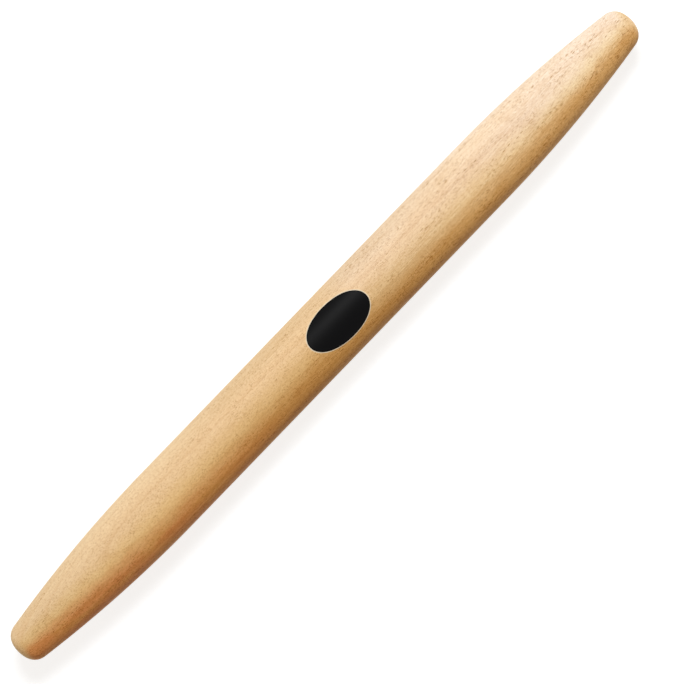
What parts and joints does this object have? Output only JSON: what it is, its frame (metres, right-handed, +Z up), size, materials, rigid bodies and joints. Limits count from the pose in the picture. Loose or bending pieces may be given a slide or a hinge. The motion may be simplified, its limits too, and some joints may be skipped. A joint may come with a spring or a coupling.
{
  "type": "french rolling pin",
  "caption": "Handleless tapered wooden rolling pin: straight barrel, long curved tapers to crowned ends, blank dark oval label on the barrel; rolled under the palms to spread dough.",
  "frame": {"origin": "on the table, straight below the pin's mid-length, where the barrel touches the surface that it lies on", "axes": "+X along the pin, away from the end that the label is shifted towards, +Z up through the middle of the label, +Y across the pin"},
  "size_m": [0.45, 0.0372, 0.0374],
  "materials": {
    "beech": "turned, sanded and oiled to a satin",
    "label_film": "white self-adhesive vinyl film, matt cut edge",
    "label_black": "black film, soft gloss"
  },
  "bodies": {
    "root": {"pin": "beech", "label_backing": "label_film", "label_face": "label_black"}
  },
  "joints": []
}
